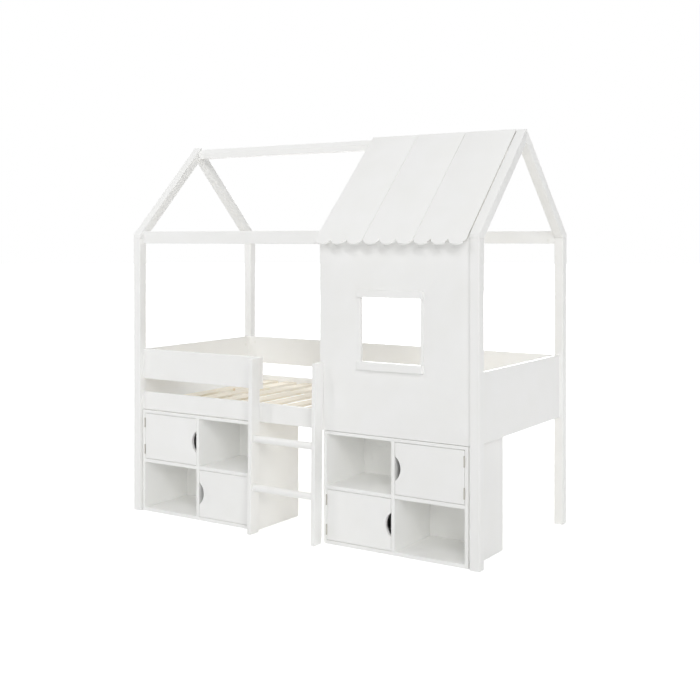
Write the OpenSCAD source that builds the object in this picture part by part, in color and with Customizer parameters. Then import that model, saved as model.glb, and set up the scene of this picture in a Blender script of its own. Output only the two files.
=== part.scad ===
// Cabin bed: a slatted single bed inside a house-shaped frame, with a front
// panel and window, a scalloped half roof, a leaning ladder and two cubby units.
// X runs along the bed, the open front faces -Y, and Z = 0 is the floor.

/* [Frame] */
// Overall length over the posts
bed_length = 2080; // [1980:5:2200]
// Overall width over the posts
bed_width = 1010; // [940:5:1100]
// Section of the square posts and rafters
post_w = 48; // [42:1:56]
// Height of the posts, up to the rafter feet
post_height = 1474; // [1420:2:1560]
// Pitch of both roof slopes, in degrees
roof_pitch = 45; // [42:1:48]
// Rounding of the long edges of posts, rafters and rails
arris = 3; // [2:0.5:5]

/* [Rails and panels] */
// Thickness of the long rails and guard boards
rail_t = 20; // [18:1:24]
// Height of the side rails that carry the slats
side_rail_h = 95; // [85:1:110]
// Open gap between a side rail and the guard board over it
guard_gap = 71; // [60:1:90]
// Height of the guard boards
guard_h = 160; // [130:1:190]
// Thickness of the two end panels
end_panel_t = 18; // [16:1:22]
// Setback of the end panels from the outer faces of the posts
end_panel_inset = 19; // [12:1:24]
// Step from the underside of the side rails up to the end panels
end_panel_lift = 3; // [0:1:10]
// Depth of the eaves rails below the post tops
eaves_drop = 28; // [20:1:40]
// Height of the planed seat for the roof boards on an eaves rail
eaves_seat = 3; // [2:0.5:6]
// Width of the ridge beam
ridge_w = 47; // [40:1:56]

/* [Slats] */
// Number of slats
slat_count = 13; // [10:1:15]
// Width of a slat
slat_w = 80; // [60:1:90]
// Thickness of a slat
slat_t = 14; // [12:1:20]
// Distance from an end panel to the first slat
slat_margin = 141; // [90:0.5:170]
// Drop of the slat tops below the top of the side rails
slat_drop = 28; // [12:1:28]
// Width of the ledgers under the slat ends
ledger_w = 22; // [18:1:30]
// Height of the ledgers
ledger_h = 28; // [22:1:28]

/* [Front panel and window] */
// Thickness of the front panel
facade_t = 12; // [10:1:16]
// Offset of the window's middle from the middle of the front panel
window_shift = -9.5; // [-60:0.5:60]
// Width of the window
window_w = 322; // [240:1:400]
// Height of the window
window_h = 303; // [220:1:380]
// Height of the window's lower edge above the floor
window_z = 893; // [840:1:980]
// Height of the lintel over the window
lintel_h = 35; // [28:1:45]
// Height of the sill under the window
sill_h = 38; // [28:1:45]
// Projection of lintel and sill from the panel
ledge_out = 17; // [12:1:24]
// Width of the strips beside the window, and overhang of lintel and sill
jamb_w = 16; // [12:1:24]
// Thickness of the strips beside the window
jamb_out = 4; // [3:1:8]

/* [Roof] */
// Thickness of the roof boards
roof_t = 10; // [8:1:14]
// Gap between two roof boards
roof_joint = 1.8; // [1:0.2:4]
// Gap between the roof and the gable rafter
roof_side_gap = 5.5; // [2:0.5:10]
// Overhang of the scallop cusps past the front panel, along the slope
eaves_overhang = 55; // [30:1:80]
// Number of scallops on each roof board
scallops = 3; // [2:1:4]
// Depth of a scallop, from cusp to lobe
scallop_depth = 30; // [15:1:32]

/* [Storage units] */
// Depth of a unit
unit_depth = 360; // [300:5:440]
// Height of a unit, and of the underside of the side rails
unit_height = 548; // [500:2:600]
// Thickness of the unit's boards and doors
board_t = 18; // [16:1:22]
// Gap between the left unit and the left front post
left_unit_gap = 3; // [1:1:10]
// Gap between the right unit and the right front post
right_unit_gap = 14; // [4:1:20]
// Thickness of the back panel
back_t = 6; // [4:1:10]
// Distance from a unit's rear edge to the front of its back panel
back_inset = 20; // [12:1:30]
// Depth of the groove that holds the back panel
groove_d = 5; // [3:1:8]

/* [Doors and hinges] */
// Gap all round a door
door_gap = 2.4; // [2.4:0.1:4]
// Height of the half-moon finger cut-out
cutout_h = 114; // [80:1:130]
// Depth of the half-moon finger cut-out
cutout_d = 29; // [20:1:38]
// Height of a butt hinge
hinge_h = 50; // [40:1:60]
// Distance from a hinge's centre to the top or bottom of its opening
hinge_inset = 52; // [40:1:62]
// Width of a hinge leaf inside the gap
leaf_w = 16; // [14:1:17]
// Thickness of a hinge leaf
leaf_t = 1.1; // [0.8:0.1:1.1]
// Outer radius of a hinge knuckle
knuckle_r = 2.7; // [2.4:0.1:3.2]
// Radius of a hinge pin
pin_r = 1.4; // [1:0.1:1.6]

/* [Ladder] */
// Clear width between the stiles
ladder_gap = 362; // [320:1:400]
// Thickness of a stile
stile_t = 22.5; // [18:0.5:28]
// Depth of a stile from front to back
stile_d = 65; // [55:1:80]
// Forward lean of the stiles from top to foot
ladder_lean = 15; // [0:1:40]
// Height of the lower rung's centre
lower_rung_z = 230; // [180:1:270]
// Height of the upper rung's centre
upper_rung_z = 473; // [420:1:520]
// Radius of a rung
rung_r = 17.5; // [12:0.5:20]
// Distance from the front of a stile to the front of a rung
rung_setback = 10; // [6:1:14]
// Depth of a rung's seat in a stile
rung_seat = 12; // [8:1:16]

/* [Fasteners] */
// Radius of the wooden dowels
dowel_r = 4; // [3:0.5:5]
// Radius of a cam lock
cam_r = 7.4; // [6:0.2:8]
// Depth of a cam lock
cam_h = 12.3; // [11:0.1:13]
// Distance from a board's end to its cam locks
cam_reach = 34; // [28:1:40]
// Radius of a cam bolt's shank
cam_bolt_r = 3.4; // [3:0.1:4]
// Radius of a cam bolt's thread
cam_thread_r = 2.5; // [2:0.1:3]
// Length of a cam bolt's thread
cam_thread_l = 11; // [9:1:14]
// Shank radius of the screws
screw_r = 2; // [1.5:0.1:2.2]
// Shank radius of the hinge screws
hinge_screw_r = 1.4; // [1.2:0.1:1.6]
// Length of the hinge screws
hinge_screw_l = 14; // [10:1:15]

/* [Hidden] */
$fn = 48;

// Clearances
fit_gap = 0.1;
pin_gap = 0.05;
small_gap = 0.2;
seat_gap = 1;
roof_seat_gap = 0.05;
through = 1;

// Colours of the finishes
white_paint = [0.94, 0.94, 0.92];
pine = [0.86, 0.71, 0.49];
steel = [0.72, 0.73, 0.75];

// Outer and inner faces of the posts
outer_x = bed_length / 2;
outer_y = bed_width / 2;
inner_x = outer_x - post_w;
inner_y = outer_y - post_w;
rail_y = inner_y + rail_t;

// Roof planes: z = plane - |y| * tan(pitch)
inner_apex = post_height + inner_y * tan(roof_pitch);
apex = inner_apex + post_w / cos(roof_pitch);
roof_under = apex - roof_t / cos(roof_pitch);
function under_roof(y) = roof_under - roof_seat_gap - y * tan(roof_pitch);

// Heights of the rails
rail_z = unit_height;
rail_top = rail_z + side_rail_h;
guard_z = rail_top + guard_gap;
guard_top = guard_z + guard_h;
slat_top = rail_top - slat_drop;
ledger_top = slat_top - slat_t;
eaves_z = post_height - eaves_drop;
eaves_top = under_roof(rail_y) + eaves_seat;

// End panels
panel_out = outer_x - end_panel_inset;
panel_in = panel_out - end_panel_t;

// Fronts of the panel and of the storage units
front_y = rail_y + facade_t;

// Ladder and units along the bed: the two units fill what the ladder leaves free
unit_length = inner_x - (left_unit_gap + right_unit_gap + ladder_gap) / 2 - stile_t;
left_unit_x = -inner_x + left_unit_gap;
left_stile_x = left_unit_x + unit_length;
right_stile_x = left_stile_x + stile_t + ladder_gap;
right_unit_x = right_stile_x + stile_t;
facade_lap = 1.5;
facade_x = right_stile_x + facade_lap;
facade_top = under_roof(front_y) - seat_gap;
guard_lap = 16;
guard_end = left_stile_x + guard_lap;

// Window
window_x = (facade_x + inner_x - window_w) / 2 + window_shift;
window_x1 = window_x + window_w;
window_top = window_z + window_h;

// Roof boards
roof_x1 = inner_x - roof_side_gap;
board_w = (roof_x1 - facade_x - 2 * roof_joint) / 3;
cusp_s = front_y / cos(roof_pitch) + eaves_overhang;
scallop_w = board_w / scallops;
scallop_r = (pow(scallop_w / 2, 2) + pow(scallop_depth, 2)) / (2 * scallop_depth);
roof_dowel_s = 20;
roof_dowel_in = 6;
roof_dowel_l = 15;
roof_dowels_at = [0.25, 0.75];

// Storage units, measured from a unit's left front corner
cubby_w = (unit_length - 3 * board_t) / 2;
cubby_h = (unit_height - 3 * board_t) / 2;
inner_d = unit_depth - back_inset;
divider_x = board_t + cubby_w;
shelf_z = board_t + cubby_h;
upper_z = shelf_z + board_t;
right_wall_x = unit_length - board_t;
dowel_rows = [50, inner_d - 50];
dowel_short = 12;
dowel_long = 15;
rim = 1;

// Doors and hinges, measured from the hinge wall, the front and the cubby floor
cutout_r = (pow(cutout_h / 2, 2) + pow(cutout_d, 2)) / (2 * cutout_d);
door_x1 = cubby_w - door_gap;
hinge_x = door_gap / 2;
hinge_y = -(knuckle_r + small_gap);
hinge_rows = [hinge_inset, cubby_h - hinge_inset];
knuckles = 5;
knuckle_l = hinge_h / knuckles;
pin_head_r = 2.2;
pin_head_h = 0.8;
leaf_screw_rows = [-15, 15];
leaf_screw_y = 9;
strike = [36, 1.2, 8];
catch = [40, 14, 12];
catch_edge = 22;
// Each door: unit's left edge, hinge wall, cubby floor, side (1 hinged left, -1 right)
left_upper = [left_unit_x, board_t, upper_z, 1];
left_lower = [left_unit_x, right_wall_x, board_t, -1];
right_upper = [right_unit_x, right_wall_x, upper_z, -1];
right_lower = [right_unit_x, board_t, board_t, 1];
doors = [left_upper, left_lower, right_upper, right_lower];

// Ladder
stile_slope = ladder_lean / guard_top;
function stile_back(z) = -front_y - (guard_top - z) * stile_slope;
function rung_y(z) = stile_back(z) - stile_d + rung_setback + rung_r;
stile_round = 8;

// Everything is shifted so that the origin is under the middle of the whole outline
centre_y = (stile_back(0) - stile_d + outer_y) / 2;

// ---- Lists of the hidden connectors ----

// Distances of the cam joints from the edges of their boards
side_cam_edge = 17;
guard_cam_edge = 35;
panel_cam_edge = 50;
ridge_cam_y = 12;
ridge_cam_cover = 3;

// Cam joints: point on the joint plane, direction into the board, direction of its face
cam_rows_side = [rail_z + side_cam_edge, rail_top - side_cam_edge];
cam_rows_guard = [guard_z + guard_cam_edge, guard_top - guard_cam_edge];
cam_rows_panel = [rail_z + panel_cam_edge, guard_top - panel_cam_edge];
eaves_cam_z = post_height - eaves_drop / 2;
ridge_cam_z = inner_apex + cam_h - ridge_cam_cover;
function rail_cams(sides, ys, rows) = [
    for (sx = sides, sy = ys, z = rows)
        [[sx * inner_x, sy * (inner_y + rail_t / 2), z], [-sx, 0, 0], [0, -sy, 0], rail_t / 2]];
front_left_cams = rail_cams([-1], [-1], cam_rows_guard);
side_cams = rail_cams([-1, 1], [-1, 1], cam_rows_side);
rear_guard_cams = rail_cams([-1, 1], [1], cam_rows_guard);
eaves_cams = rail_cams([-1, 1], [-1, 1], [eaves_cam_z]);
panel_cams = [
    for (sx = [-1, 1], sy = [-1, 1], z = cam_rows_panel)
        [[sx * (panel_out - end_panel_t / 2), sy * inner_y, z], [0, -sy, 0], [-sx, 0, 0],
            end_panel_t / 2]];
ridge_cams = [
    for (sx = [-1, 1], y = [-ridge_cam_y, ridge_cam_y])
        [[sx * inner_x, y, ridge_cam_z], [-sx, 0, 0], [0, 0, -1], ridge_cam_z - inner_apex]];
all_cams = concat(front_left_cams, side_cams, rear_guard_cams, eaves_cams, panel_cams, ridge_cams);

// Dowels: point on the joint, axis, length before and after the joint
post_mid_x = outer_x - post_w / 2;
post_mid_y = outer_y - post_w / 2;
foot_dowel_off = post_w / 4;
foot_dowel_down = 30;
foot_dowel_up = 26;
mitre_dowel_rows = [18, 36];
mitre_dowel_half = 18;
foot_dowels = [
    for (sx = [-1, 1], sy = [-1, 1], dx = [-foot_dowel_off, foot_dowel_off])
        [[sx * post_mid_x + dx, sy * post_mid_y, post_height], [0, 0, 1],
            foot_dowel_down, foot_dowel_up]];
mitre_dowels = [
    for (sx = [-1, 1], dz = mitre_dowel_rows)
        [[sx * post_mid_x, 0, inner_apex + dz], [0, 1, 0], mitre_dowel_half, mitre_dowel_half]];
slope_out = [0, -sin(roof_pitch), cos(roof_pitch)];
slope_down = [0, -cos(roof_pitch), -sin(roof_pitch)];
function roof_board_x(i) = facade_x + i * (board_w + roof_joint);
roof_dowels = [
    for (i = [0 : 2], f = roof_dowels_at)
        [[roof_board_x(i) + f * board_w, 0, roof_under] + roof_dowel_s * slope_down,
            slope_out, roof_dowel_l - roof_dowel_in, roof_dowel_in]];
function unit_dowels(ux) = [
    for (y = dowel_rows) each [
        for (x = [board_t / 2, divider_x + board_t / 2, right_wall_x + board_t / 2])
            [[ux + x, y - front_y, unit_height - board_t], [0, 0, 1], dowel_long, dowel_short],
        for (z = [board_t / 2, shelf_z + board_t / 2], x = [board_t, right_wall_x])
            [[ux + x, y - front_y, z], [x > board_t ? -1 : 1, 0, 0], dowel_short, dowel_long],
        [[ux + divider_x + board_t / 2, y - front_y, board_t], [0, 0, 1], dowel_short, dowel_long],
        [[ux + divider_x + board_t / 2, y - front_y, shelf_z + board_t / 2], [1, 0, 0],
            dowel_long + board_t / 2, dowel_long + board_t / 2]
    ]];
left_dowels = unit_dowels(left_unit_x);
right_dowels = unit_dowels(right_unit_x);
all_dowels = concat(foot_dowels, mitre_dowels, roof_dowels, left_dowels, right_dowels);

// Screws: centre of the head, direction, length
slat_pitch = (2 * (panel_in - slat_margin) - slat_w) / (slat_count - 1);
function slat_x(i) = (i - (slat_count - 1) / 2) * slat_pitch;
slat_screw_l = 32;
ledger_screw_gaps = [0, 0.25, 0.5, 0.75, 1];
screw_bite = 0.7;
panel_screws_at = [0.08, 0.36, 0.64, 0.92];
eaves_screw_drop = 8;
trim_screws_at = [0.08, 0.5, 0.92];
ladder_screw_bite = 25;
slat_screws = [
    for (i = [0 : slat_count - 1], sy = [-1, 1])
        [[slat_x(i), sy * (inner_y - ledger_w / 2), slat_top], [0, 0, -1], slat_screw_l]];
ledger_screws = [
    for (sy = [-1, 1], f = ledger_screw_gaps)
        [[slat_x(round(f * (slat_count - 2))) + slat_pitch / 2, sy * (inner_y - ledger_w),
            ledger_top - ledger_h / 2], [0, sy, 0], ledger_w + rail_t * screw_bite]];
front_panel_screws = [
    for (f = panel_screws_at, z = [rail_z + side_cam_edge, post_height - eaves_screw_drop])
        [[facade_x + f * (inner_x - facade_x), -inner_y, z], [0, -1, 0],
            rail_t + facade_t * screw_bite]];
trim_screws = [
    for (f = trim_screws_at, z = [window_top + lintel_h / 2, window_z - sill_h / 2])
        [[window_x + f * window_w, -rail_y, z], [0, -1, 0], facade_t + ledge_out * screw_bite]];
ladder_screw_rows = [guard_top - 24, guard_top - 110];
left_ladder_screws = [
    for (z = ladder_screw_rows)
        [[(left_stile_x + guard_end) / 2, -inner_y, z], [0, -1, 0],
            rail_t + facade_t + ladder_screw_bite]];
right_ladder_screws = [
    for (z = ladder_screw_rows)
        [[right_stile_x + stile_t / 2, -rail_y, z], [0, -1, 0], facade_t + ladder_screw_bite]];
all_screws = concat(slat_screws, ledger_screws, front_panel_screws, trim_screws,
    left_ladder_screws, right_ladder_screws);
head_r = 2 * screw_r;
head_h = screw_r;

// ---- Basic shapes ----

// Rectangle from the origin with rounded corners
module rounded_rect(w, h, r) {
    translate([r, 0]) square([w - 2 * r, h]);
    translate([0, r]) square([w, h - 2 * r]);
    for (x = [r, w - r], y = [r, h - r]) translate([x, y]) circle(r);
}

// Boards between two limits on each axis, with the edges along one axis rounded
module board_x(x, y, z, r) {
    translate([x[0], y[0], z[0]]) rotate([90, 0, 90])
        linear_extrude(x[1] - x[0]) rounded_rect(y[1] - y[0], z[1] - z[0], r);
}
module board_y(x, y, z, r) {
    translate([x[0], y[1], z[0]]) rotate([90, 0, 0])
        linear_extrude(y[1] - y[0]) rounded_rect(x[1] - x[0], z[1] - z[0], r);
}
module board_z(x, y, z, r) {
    translate([x[0], y[0], z[0]])
        linear_extrude(z[1] - z[0]) rounded_rect(x[1] - x[0], y[1] - y[0], r);
}
module box(x, y, z) {
    translate([x[0], y[0], z[0]]) cube([x[1] - x[0], y[1] - y[0], z[1] - z[0]]);
}

// Turns +Z to the axis of a dowel or screw and moves to its point
module along(item) {
    a = item[1];
    translate(item[0]) rotate([0, acos(a.z), atan2(a.y, a.x)]) children();
}

// Local frame of a cam joint: +X into the board, +Y to the face that holds the cam
module at_cam(c) {
    d = c[1];
    f = c[2];
    n = cross(d, f);
    p = c[0];
    multmatrix([[d.x, f.x, n.x, p.x], [d.y, f.y, n.y, p.y], [d.z, f.z, n.z, p.z], [0, 0, 0, 1]])
        children();
}

// ---- Connectors and their bores ----

module cam_bolt(c) {
    at_cam(c) rotate([0, 90, 0]) {
        cylinder(r = cam_bolt_r, h = cam_reach);
        translate([0, 0, -cam_thread_l]) cylinder(r = cam_thread_r, h = cam_thread_l);
    }
}
module cam_lock(c) {
    at_cam(c) difference() {
        translate([cam_reach, c[3], 0]) rotate([90, 0, 0]) cylinder(r = cam_r, h = cam_h);
        rotate([0, 90, 0]) cylinder(r = cam_bolt_r + fit_gap, h = cam_reach + fit_gap);
    }
}
module board_cam_bores(cams) {
    for (c = cams) at_cam(c) {
        translate([cam_reach, c[3] + through, 0]) rotate([90, 0, 0])
            cylinder(r = cam_r + fit_gap, h = cam_h + fit_gap + through);
        translate([-through, 0, 0]) rotate([0, 90, 0])
            cylinder(r = cam_bolt_r + fit_gap, h = cam_reach + through);
    }
}
module post_cam_bores(cams) {
    for (c = cams) at_cam(c)
        translate([-cam_thread_l - fit_gap, 0, 0]) rotate([0, 90, 0])
            cylinder(r = cam_thread_r + fit_gap, h = cam_thread_l + fit_gap + through);
}
module dowel(d) {
    along(d) translate([0, 0, -d[2]]) cylinder(r = dowel_r, h = d[2] + d[3]);
}
module dowel_bores(dowels) {
    for (d = dowels) along(d) translate([0, 0, -d[2] - fit_gap])
        cylinder(r = dowel_r + fit_gap, h = d[2] + d[3] + 2 * fit_gap);
}
module screw(s, r = screw_r, hr = head_r, hh = head_h) {
    along(s) {
        cylinder(r1 = hr, r2 = r, h = hh);
        cylinder(r = r, h = s[2]);
    }
}
module screw_bores(screws, r = screw_r, hr = head_r, hh = head_h) {
    for (s = screws) along(s) {
        cylinder(r1 = hr + fit_gap, r2 = r + fit_gap, h = hh + fit_gap);
        translate([0, 0, -through]) cylinder(r = hr + fit_gap, h = through);
        cylinder(r = r + fit_gap, h = s[2] + fit_gap);
    }
}

// Moves a finished piece so that the origin is under the middle of the outline
module placed() {
    translate([0, -centre_y, 0]) children();
}

// ---- House frame ----

module post(sx, sy) {
    x = sx < 0 ? [-outer_x, -inner_x] : [inner_x, outer_x];
    y = sy < 0 ? [-outer_y, -inner_y] : [inner_y, outer_y];
    near = [for (c = all_cams) if (c[0].x * sx > 0 && c[0].y * sy > 0 && c[0].z < post_height) c];
    color(white_paint) difference() {
        board_z(x, y, [0, post_height], arris);
        post_cam_bores(near);
        dowel_bores([for (d = foot_dowels) if (d[0].x * sx > 0 && d[0].y * sy > 0) d]);
    }
}
module post_front_left() post(-1, -1);
module post_front_right() post(1, -1);
module post_rear_left() post(-1, 1);
module post_rear_right() post(1, 1);

// A rafter: a bar along the slope, cut level on the post, plumb at the ridge and foot
module rafter(sx, sy) {
    bar_l = apex / sin(roof_pitch);
    color(white_paint) difference() {
        intersection() {
            translate([sx * post_mid_x - post_w / 2, 0, 0]) mirror([0, sy > 0 ? 1 : 0, 0])
                translate([0, 0, inner_apex]) rotate([roof_pitch, 0, 0])
                    translate([0, 2 * post_w - bar_l, 0])
                        board_y([0, post_w], [0, bar_l], [0, post_w], arris);
            box([sx * post_mid_x - post_w, sx * post_mid_x + post_w],
                sy < 0 ? [-outer_y, 0] : [0, outer_y], [post_height, apex + post_w]);
        }
        post_cam_bores([for (c = ridge_cams) if (c[0].x * sx > 0 && c[0].y * sy > 0) c]);
        dowel_bores([for (d = foot_dowels) if (d[0].x * sx > 0 && d[0].y * sy > 0) d]);
        dowel_bores([for (d = mitre_dowels) if (d[0].x * sx > 0) d]);
    }
}
module rafter_front_left() rafter(-1, -1);
module rafter_front_right() rafter(1, -1);
module rafter_rear_left() rafter(-1, 1);
module rafter_rear_right() rafter(1, 1);

module ridge_beam() {
    side = ridge_w / 2;
    color(white_paint) difference() {
        translate([-inner_x, 0, 0]) rotate([90, 0, 90]) linear_extrude(2 * inner_x)
            polygon([[-side, inner_apex], [side, inner_apex], [side, under_roof(side)],
                [0, under_roof(0)], [-side, under_roof(side)]]);
        board_cam_bores(ridge_cams);
        dowel_bores(roof_dowels);
    }
}

// Rail at the eaves, its top outer edge planed to the slope of the roof boards
module eaves_rail(sy) {
    color(white_paint) difference() {
        mirror([0, sy > 0 ? 1 : 0, 0]) difference() {
            board_x([-inner_x, inner_x], [-rail_y, -inner_y], [eaves_z, eaves_top], arris);
            translate([-outer_x, -rail_y, under_roof(rail_y)]) rotate([roof_pitch, 0, 0])
                translate([0, -rail_t, 0]) cube([bed_length, 2 * rail_t, rail_t]);
        }
        board_cam_bores([for (c = eaves_cams) if (c[0].y * sy > 0) c]);
        if (sy < 0) screw_bores(front_panel_screws);
    }
}
module eaves_rail_front() eaves_rail(-1);
module eaves_rail_rear() eaves_rail(1);

// ---- Bed sides, ends and slats ----

module end_panel(sx) {
    x = sx < 0 ? [-panel_out, -panel_in] : [panel_in, panel_out];
    color(white_paint) difference() {
        board_y(x, [-inner_y, inner_y], [rail_z + end_panel_lift, guard_top], arris * 2);
        board_cam_bores([for (c = panel_cams) if (c[0].x * sx > 0) c]);
    }
}
module end_panel_left() end_panel(-1);
module end_panel_right() end_panel(1);

module guard_board_front() {
    color(white_paint) difference() {
        board_x([-inner_x, guard_end], [-rail_y, -inner_y], [guard_z, guard_top], arris);
        board_cam_bores(front_left_cams);
        screw_bores(left_ladder_screws);
    }
}
module guard_board_rear() {
    color(white_paint) difference() {
        board_x([-inner_x, inner_x], [inner_y, rail_y], [guard_z, guard_top], arris);
        board_cam_bores(rear_guard_cams);
    }
}
module side_rail(sy) {
    y = sy < 0 ? [-rail_y, -inner_y] : [inner_y, rail_y];
    color(white_paint) difference() {
        board_x([-inner_x, inner_x], y, [rail_z, rail_top], arris);
        board_cam_bores([for (c = side_cams) if (c[0].y * sy > 0) c]);
        screw_bores([for (s = ledger_screws) if (s[0].y * sy > 0) s]);
        if (sy < 0) screw_bores(front_panel_screws);
    }
}
module side_rail_front() side_rail(-1);
module side_rail_rear() side_rail(1);

module slat_ledgers() {
    color(pine) for (sy = [-1, 1]) difference() {
        y = sy < 0 ? [-inner_y, ledger_w - inner_y] : [inner_y - ledger_w, inner_y];
        box([seat_gap - inner_x, inner_x - seat_gap], y, [ledger_top - ledger_h, ledger_top]);
        screw_bores([for (s = concat(ledger_screws, slat_screws)) if (s[0].y * sy > 0) s]);
    }
}
module slats() {
    color(pine) for (i = [0 : slat_count - 1]) difference() {
        board_y([slat_x(i) - slat_w / 2, slat_x(i) + slat_w / 2],
            [seat_gap - inner_y, inner_y - seat_gap], [ledger_top, slat_top], arris);
        screw_bores([slat_screws[2 * i], slat_screws[2 * i + 1]]);
    }
}

// ---- Front panel, window and roof boards ----

module front_panel() {
    color(white_paint) difference() {
        box([facade_x, inner_x], [-front_y, -rail_y], [unit_height, facade_top]);
        box([window_x, window_x1], [-front_y - through, through - rail_y], [window_z, window_top]);
        screw_bores(concat(front_panel_screws, trim_screws, right_ladder_screws));
    }
}
module window_ledge(z) {
    color(white_paint) difference() {
        board_x([window_x - jamb_w, window_x1 + jamb_w], [-front_y - ledge_out, -front_y], z, arris / 2);
        screw_bores(trim_screws);
    }
}
module window_lintel() window_ledge([window_top, window_top + lintel_h]);
module window_sill() window_ledge([window_z - sill_h, window_z]);
module window_jambs() {
    color(white_paint) for (x = [window_x - jamb_w, window_x1])
        box([x, x + jamb_w], [-front_y - jamb_out, -front_y], [window_z, window_top]);
}

// A roof board drawn flat, from the ridge down, then laid on the slope
module scalloped_outline() {
    intersection() {
        square([board_w, cusp_s + scallop_depth]);
        union() {
            square([board_w, cusp_s]);
            for (i = [0 : scallops - 1])
                translate([(i + 0.5) * scallop_w, cusp_s + scallop_depth - scallop_r]) circle(scallop_r);
        }
    }
}
module roof_board(i) {
    color(white_paint) difference() {
        translate([roof_board_x(i), 0, apex]) rotate([roof_pitch + 180, 0, 0])
            linear_extrude(roof_t) scalloped_outline();
        translate([0, 0, apex - bed_width / 2]) cube([bed_length, bed_width, bed_width]);
        dowel_bores(roof_dowels);
    }
}
module roof_board_left() roof_board(0);
module roof_board_middle() roof_board(1);
module roof_board_right() roof_board(2);

// ---- Ladder ----

module ladder_stile(x) {
    front = stile_back(0) - stile_d;
    top_front = stile_back(guard_top) - stile_d;
    color(white_paint) difference() {
        translate([x, 0, 0]) rotate([90, 0, 90]) linear_extrude(stile_t) union() {
            polygon([[front, 0], [stile_back(0), 0], [-front_y, guard_top],
                [top_front + stile_round, guard_top],
                [stile_back(guard_top - stile_round) - stile_d, guard_top - stile_round]]);
            translate([top_front + stile_round, guard_top - stile_round]) circle(stile_round);
        }
        for (z = [lower_rung_z, upper_rung_z])
            translate([right_stile_x - ladder_gap - rung_seat - fit_gap, rung_y(z), z])
                rotate([0, 90, 0]) cylinder(r = rung_r + fit_gap,
                    h = ladder_gap + 2 * (rung_seat + fit_gap));
        screw_bores(concat(left_ladder_screws, right_ladder_screws));
    }
}
module ladder_stile_left() ladder_stile(left_stile_x);
module ladder_stile_right() ladder_stile(right_stile_x);
module ladder_rung(z) {
    color(white_paint) translate([right_stile_x - ladder_gap - rung_seat, rung_y(z), z])
        rotate([0, 90, 0]) cylinder(r = rung_r, h = ladder_gap + 2 * rung_seat);
}
module ladder_rung_lower() ladder_rung(lower_rung_z);
module ladder_rung_upper() ladder_rung(upper_rung_z);

// Packing block as thick as the front panel, between the guard board and the left stile
module ladder_spacer() {
    color(white_paint) difference() {
        box([left_stile_x, guard_end], [-front_y, -rail_y], [guard_z, guard_top]);
        screw_bores(left_ladder_screws);
    }
}

// ---- Storage units ----

module in_unit(ux) {
    translate([ux, -front_y, 0]) children();
}
// Moves to a door's cubby: x from the hinge wall, y from the front, z from its floor
module at_door(d) {
    multmatrix([[d[3], 0, 0, d[0] + d[1]], [0, 1, 0, -front_y], [0, 0, 1, d[2]], [0, 0, 0, 1]])
        children();
}
module groove_x(z) {
    box([board_t - groove_d, right_wall_x + groove_d],
        [inner_d, inner_d + back_t + small_gap], z);
}
module unit_side(ux, x, dowels) {
    wall = x > 0 ? x : board_t;
    hinged = [for (d = doors) if (d[0] == ux && d[1] == wall) d];
    groove = x > 0 ? [x - through, x + groove_d] : [board_t - groove_d, board_t + through];
    color(white_paint) difference() {
        in_unit(ux) box([x, x + board_t], [0, unit_depth], [0, unit_height - board_t]);
        in_unit(ux) box(groove, [inner_d, inner_d + back_t + small_gap],
            [board_t - groove_d, unit_height]);
        dowel_bores(dowels);
        for (d = hinged) hinge_screw_bores(d, -1);
    }
}
module unit_bottom(ux, dowels) {
    color(white_paint) difference() {
        in_unit(ux) box([board_t, right_wall_x], [0, unit_depth], [0, board_t]);
        in_unit(ux) groove_x([board_t - groove_d, board_t + through]);
        dowel_bores(dowels);
    }
}
module unit_top(ux, dowels) {
    z = unit_height - board_t;
    color(white_paint) difference() {
        in_unit(ux) box([0, unit_length], [0, unit_depth], [z, unit_height]);
        in_unit(ux) groove_x([z - through, z + groove_d]);
        dowel_bores(dowels);
    }
}
module unit_divider(ux, dowels) {
    color(white_paint) difference() {
        in_unit(ux) box([divider_x, divider_x + board_t], [0, inner_d], [board_t, unit_height - board_t]);
        dowel_bores(dowels);
    }
}
module unit_shelves(ux, dowels) {
    color(white_paint) for (x = [board_t, divider_x + board_t]) difference() {
        in_unit(ux) box([x, x + cubby_w], [0, inner_d], [shelf_z, upper_z]);
        dowel_bores(dowels);
    }
}
module unit_back(ux) {
    edge = groove_d - small_gap;
    color(white_paint) in_unit(ux) box([board_t - edge, right_wall_x + edge],
        [inner_d, inner_d + back_t], [board_t - edge, unit_height - board_t + edge]);
}
module left_unit_left_side() unit_side(left_unit_x, 0, left_dowels);
module left_unit_right_side() unit_side(left_unit_x, right_wall_x, left_dowels);
module left_unit_bottom() unit_bottom(left_unit_x, left_dowels);
module left_unit_top() unit_top(left_unit_x, left_dowels);
module left_unit_divider() unit_divider(left_unit_x, left_dowels);
module left_unit_shelves() unit_shelves(left_unit_x, left_dowels);
module left_unit_back() unit_back(left_unit_x);
module right_unit_left_side() unit_side(right_unit_x, 0, right_dowels);
module right_unit_right_side() unit_side(right_unit_x, right_wall_x, right_dowels);
module right_unit_bottom() unit_bottom(right_unit_x, right_dowels);
module right_unit_top() unit_top(right_unit_x, right_dowels);
module right_unit_divider() unit_divider(right_unit_x, right_dowels);
module right_unit_shelves() unit_shelves(right_unit_x, right_dowels);
module right_unit_back() unit_back(right_unit_x);

// ---- Doors, hinges and catches ----

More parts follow.
